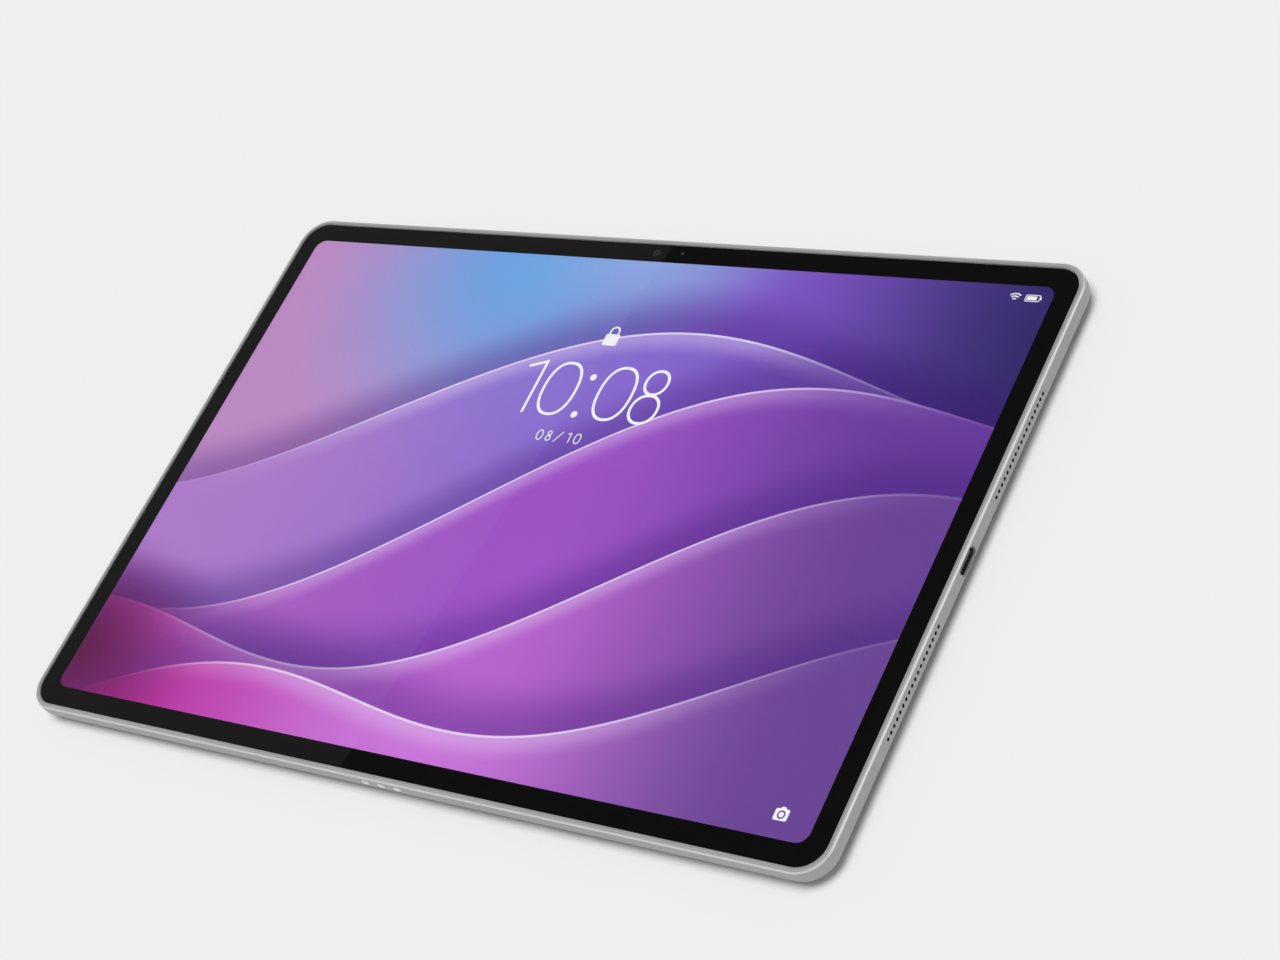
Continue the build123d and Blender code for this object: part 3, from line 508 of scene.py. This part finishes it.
def oval(cx, cy, rx, ry, power=2.0, steps=64, start=0.0, end=360.0, closed=True):
    """Points round a superellipse; power 2 is a plain ellipse."""
    count = steps if closed else steps + 1
    loop = []
    for k in range(count):
        a = math.radians(start + (end - start) * k / steps)
        c, s = math.cos(a), math.sin(a)
        loop.append((cx + rx * math.copysign(abs(c) ** (2 / power), c),
                     cy + ry * math.copysign(abs(s) ** (2 / power), s)))
    return loop


def box_loop(cx, cy, w, h, r, steps=6):
    """Points round a box with round corners of radius r."""
    loop = []
    for sx, sy, first in ((1, 1, 0), (-1, 1, 90), (-1, -1, 180), (1, -1, 270)):
        for k in range(steps + 1):
            a = math.radians(first + 90 * k / steps)
            loop.append((cx + sx * (w / 2 - r) + r * math.cos(a), cy + sy * (h / 2 - r) + r * math.sin(a)))
    return loop


def ring(marks, cx, cy, rx, ry, width, power=2.0):
    """An oval line, width wide."""
    marks.strip(oval(cx, cy, rx, ry, power), oval(cx, cy, rx - width, ry - width, power))


def digit(marks, value, cx, cy, height, width):
    """A thin numeral, height tall and drawn with a line width wide."""
    if value == 0:
        ring(marks, cx, cy, height * 0.335, height * 0.5, width, 2.35)
    elif value == 8:
        ring(marks, cx, cy + height * 0.262, height * 0.225, height * 0.238, width, 2.1)
        ring(marks, cx, cy - height * 0.224, height * 0.27, height * 0.276, width, 2.15)
    elif value == 1:
        stem = cx + height * 0.05
        marks.stroke((stem, cy - height * 0.5 + width / 2), (stem, cy + height * 0.5 - width / 2), width)
        marks.stroke((stem, cy + height * 0.49 - width / 2), (cx - height * 0.24, cy + height * 0.36), width)


# Everything below is placed in millimetres on the screen. First the time, then the date under it.
TIME_Y, TIME_HEIGHT, TIME_LINE = 38.1, 19.3, 0.95
DATE_Y, DATE_HEIGHT, DATE_LINE = 21.6, 3.6, 0.36
COLON_X, COLON_DOT = 0.9, 1.15
clock = Marks()
for value, cx in ((1, -19.4), (0, -9.0), (0, 11.6), (8, 24.2)):
    digit(clock, value, cx, TIME_Y, TIME_HEIGHT, TIME_LINE)
for y in (43.0, 29.7):
    clock.fill(oval(COLON_X, y, COLON_DOT, COLON_DOT, steps=32))
for value, cx in ((0, -7.4), (8, -4.0), (1, 3.6), (0, 6.6)):
    digit(clock, value, cx, DATE_Y, DATE_HEIGHT, DATE_LINE)
clock.stroke((-1.5, 19.9), (0.7, 23.3), 0.34)
screen_clock = clock.piece("screen_clock_digits", lit_white("lit_white"))



def arc(cx, cy, radius, steps, start, end):
    """Points along part of a circle, from start to end in degrees."""
    return oval(cx, cy, radius, radius, steps=steps, start=start, end=end, closed=False)


icons = Marks()
# A padlock: body, shackle and the shackle's two legs.
LOCK_X, SHACKLE_Y = 0.1, 59.6
icons.fill(box_loop(LOCK_X, 56.6, 5.2, 4.1, 0.5))
icons.strip(arc(LOCK_X, SHACKLE_Y, 1.85, 24, 0, 180), arc(LOCK_X, SHACKLE_Y, 1.25, 24, 0, 180), False)
for x in (-1.45, 1.65):
    icons.fill([(x - 0.3, 58.6), (x + 0.3, 58.6), (x + 0.3, SHACKLE_Y), (x - 0.3, SHACKLE_Y)])
# A wireless fan.
FAN_X, FAN_Y, FAN_HALF_LINE = 125.7, 80.5, 0.2
for r in (0.75, 1.6, 2.45):
    icons.strip(arc(FAN_X, FAN_Y, r + FAN_HALF_LINE, 16, 48, 132), arc(FAN_X, FAN_Y, r - FAN_HALF_LINE, 16, 48, 132),
                False)
# A battery: outline, charge and tip.
BATTERY_Y = 81.7
icons.strip(box_loop(131.2, BATTERY_Y, 4.6, 2.3, 0.5), box_loop(131.2, BATTERY_Y, 4.1, 1.8, 0.3))
icons.fill(box_loop(130.95, BATTERY_Y, 3.1, 1.3, 0.15))
icons.fill(box_loop(133.75, BATTERY_Y, 0.35, 1.0, 0.12))
# A camera: body round its lens, the lens and the viewfinder's hump. The body's loop has as many points as the hole's.
CAMERA_ICON = (126.9, -79.2)
icons.strip(box_loop(*CAMERA_ICON, 4.2, 3.3, 0.5, 16), oval(*CAMERA_ICON, 1.2, 1.2, steps=68))
icons.fill(oval(*CAMERA_ICON, 0.75, 0.75, steps=32))
icons.fill([(126.0, -77.6), (127.8, -77.6), (127.5, -77.0), (126.3, -77.0)])
icons.piece("screen_icons", screen_clock.data.materials[0])


# ---------------------------------------------------------------- floor
FLOOR_REACH, FLOOR_Z = 14.0, -0.0002


def floor_piece():
    """A plain pale floor, just under the camera ring."""
    mesh = bpy.data.meshes.new("floor")
    corners = ((-1, -1), (1, -1), (1, 1), (-1, 1))
    mesh.from_pydata([(x * FLOOR_REACH, y * FLOOR_REACH, FLOOR_Z) for x, y in corners], [], [(0, 1, 2, 3)])
    s = Shade("floor_paper")
    paper = s.mix(s.noise(40.0, 3.0), (0.80, 0.80, 0.80), (0.806, 0.806, 0.806))
    s.principled(Base_Color=paper, Roughness=0.9, Specular_IOR_Level=0.0)
    mesh.materials.append(s.material)
    made_floor = bpy.data.objects.new("floor", mesh)
    bpy.context.scene.collection.objects.link(made_floor)


floor_piece()


# ---------------------------------------------------------------- light
def panel(name, place, aim, width, height, watts):
    """A soft rectangular lamp that looks from place to aim, both in metres."""
    data = bpy.data.lights.new(name, "AREA")
    data.shape, data.size, data.size_y, data.energy = "RECTANGLE", width, height, watts
    lamp = bpy.data.objects.new(name, data)
    lamp.location = place
    lamp.rotation_euler = (Vector(aim) - Vector(place)).to_track_quat("-Z", "Y").to_euler()
    lamp.visible_camera = False
    bpy.context.scene.collection.objects.link(lamp)
    return lamp


def sun(name, way, strength, spread):
    """A soft, even light from far off, for matt surfaces and the floor."""
    data = bpy.data.lights.new(name, "SUN")
    data.energy, data.angle = strength, math.radians(spread)
    lamp = bpy.data.objects.new(name, data)
    lamp.rotation_euler = (-Vector(way)).to_track_quat("-Z", "Y").to_euler()
    lamp.visible_glossy = False
    bpy.context.scene.collection.objects.link(lamp)


sun("key", (0.16, -0.10, 1.0), 2.46, 32)
# These three show only in glossy surfaces, and leave the matt floor alone.
for lamp in (panel("edge_right", (1.25, 0.75, 1.1), (0.1, 0, 0), 1.3, 1.1, 1.2),
             panel("edge_front", (-0.9, -1.35, 0.75), (0, -0.05, 0), 1.6, 0.7, 0.22),
             panel("corner", (0.75, -1.05, 0.07), (0.14, -0.09, 0), 0.5, 0.1, 1.1)):
    lamp.visible_diffuse = False
# The glass mirrors this one as the soft patch over the left half of the screen.
WINDOW_AT, WINDOW_HEIGHT, WINDOW_TURN = (-2.353, 0.950), 1.5, -6.03
window = panel("window", (*WINDOW_AT, WINDOW_HEIGHT), (*WINDOW_AT, 0), 1.8, 3.0, 2.2)
window.rotation_euler = (0, 0, math.radians(WINDOW_TURN))

world = bpy.data.worlds.new("studio")
bpy.context.scene.world = world
world.use_nodes = True
sky = world.node_tree
sky.nodes.clear()
path = sky.nodes.new("ShaderNodeLightPath")
# The room's strength for matt surfaces, and what each other kind of ray adds: the camera's own, those
# mirrored by satin metal, and those mirrored by smooth glass.
ROOM_STRENGTH = 0.30
RAY_EXTRAS = (("Is Camera Ray", 0.565), ("Is Glossy Ray", 0.45), ("Is Singular Ray", -0.69))
strength = ROOM_STRENGTH
for ray, more in RAY_EXTRAS:
    step = sky.nodes.new("ShaderNodeMath")
    step.operation = "MULTIPLY_ADD"
    sky.links.new(path.outputs[ray], step.inputs[0])
    step.inputs[1].default_value = more
    if isinstance(strength, float):
        step.inputs[2].default_value = strength
    else:
        sky.links.new(strength, step.inputs[2])
    strength = step.outputs[0]
pale = sky.nodes.new("ShaderNodeBackground")
pale.inputs["Color"].default_value = (1, 1, 1, 1)
sky.links.new(strength, pale.inputs["Strength"])
sky_out = sky.nodes.new("ShaderNodeOutputWorld")
sky.links.new(pale.outputs[0], sky_out.inputs["Surface"])

# ---------------------------------------------------------------- camera
CAMERA_AT = Vector((0.519045, -0.309480, 0.546575))
CAMERA_RIGHT = Vector((0.785314, 0.415981, -0.458521))
CAMERA_UP = Vector((-0.097466, 0.814463, 0.571970))
LENS_MM = 80.14
camera_data = bpy.data.cameras.new("camera")
camera_data.lens = LENS_MM
camera_data.sensor_width = 36.0
camera_data.clip_start = 0.02
camera_data.clip_end = 60.0
camera = bpy.data.objects.new("camera", camera_data)
back = CAMERA_RIGHT.cross(CAMERA_UP)
turn = Matrix((CAMERA_RIGHT, CAMERA_UP, back)).transposed()
camera.matrix_world = Matrix.Translation(CAMERA_AT) @ turn.to_4x4()
bpy.context.scene.collection.objects.link(camera)
bpy.context.scene.camera = camera
bpy.context.scene.view_settings.view_transform = "Standard"
bpy.context.scene.view_settings.look = "None"
